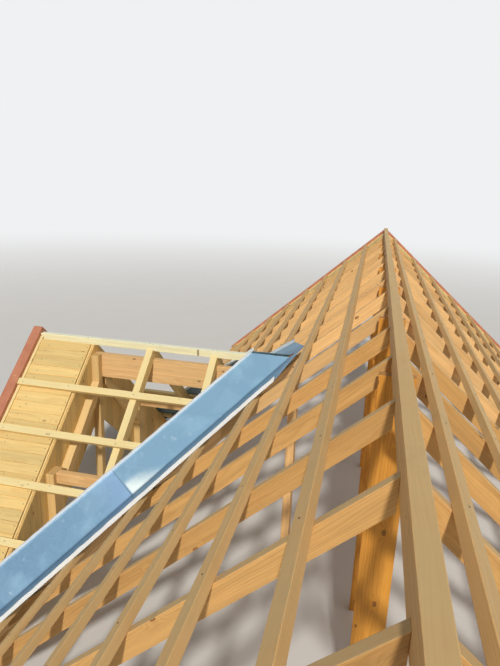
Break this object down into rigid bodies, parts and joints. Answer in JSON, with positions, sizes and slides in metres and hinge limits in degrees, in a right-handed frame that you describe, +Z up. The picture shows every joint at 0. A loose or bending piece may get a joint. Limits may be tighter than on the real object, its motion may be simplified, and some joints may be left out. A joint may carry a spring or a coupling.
{
  "type": "timber gable roof frame",
  "caption": "Stick-framed timber gable roof with ridge beam, rafters, tile battens, king posts and a lower cross gable joined by folded metal valley gutters.",
  "frame": {"origin": "centre of the foot of the front king post, on the floor straight under the main ridge", "axes": "+Z up, +Y along the main ridge from the open front end to the far verge, +X to the right; the cross gable is on the -X side"},
  "size_m": [5.96, 9.7, 2.6247],
  "materials": {
    "roof_timber": "sawn softwood, orange tan",
    "batten_timber": "sawn softwood, slightly weathered",
    "pale_timber": "sawn softwood, pale yellow",
    "lining_board": "planed boards, pale yellow",
    "red_paint": "red-brown painted board",
    "galvanised_sheet": "galvanised sheet"
  },
  "bodies": {
    "root": {"barge_boards": "red_paint", "battens_left": "batten_timber", "battens_right": "batten_timber", "cross_barge_boards": "red_paint", "cross_battens_back": "pale_timber", "cross_battens_front": "pale_timber", "cross_purlins": "pale_timber", "cross_rafters_1": "pale_timber", "cross_rafters_2": "pale_timber", "cross_ridge_beam": "pale_timber", "cross_ridge_plank": "pale_timber", "cross_verge_boards_back": "lining_board", "cross_verge_boards_front": "lining_board", "cross_verge_rafters": "pale_timber", "cross_verge_strips": "pale_timber", "gable_king_post": "pale_timber", "gable_lining": "lining_board", "gable_queen_posts": "pale_timber", "gable_rafters": "pale_timber", "gable_sole_plate": "pale_timber", "gable_struts": "pale_timber", "gutter_back_lower": "galvanised_sheet", "gutter_back_upper": "galvanised_sheet", "gutter_front_lower": "galvanised_sheet", "gutter_front_upper": "galvanised_sheet", "king_post_1": "roof_timber", "king_post_2": "roof_timber", "king_post_3": "roof_timber", "king_post_4": "roof_timber", "king_post_5": "roof_timber", "king_post_6": "roof_timber", "rafter_pair_01": "roof_timber", "rafter_pair_02": "roof_timber", "rafter_pair_03": "roof_timber", "rafter_pair_04": "roof_timber", "rafter_pair_05": "roof_timber", "rafter_pair_06": "roof_timber", "rafter_pair_07": "roof_timber", "rafter_pair_08": "roof_timber", "rafter_pair_09": "roof_timber", "rafter_pair_10": "roof_timber", "rafter_pair_11": "roof_timber", "rafter_pair_12": "roof_timber", "rafter_pair_13": "roof_timber", "rafter_pair_14": "roof_timber", "rafter_pair_15": "roof_timber", "rafter_pair_16": "roof_timber", "ridge_beam": "roof_timber", "valley_post": "roof_timber", "valley_rafter_back": "roof_timber", "valley_rafter_front": "roof_timber", "verge_boards_left": "lining_board", "verge_boards_right": "lining_board", "verge_rafters": "roof_timber", "verge_strips": "pale_timber", "wall_plate_left_back": "roof_timber", "wall_plate_left_front": "roof_timber", "wall_plate_right": "roof_timber"}
  },
  "joints": []
}
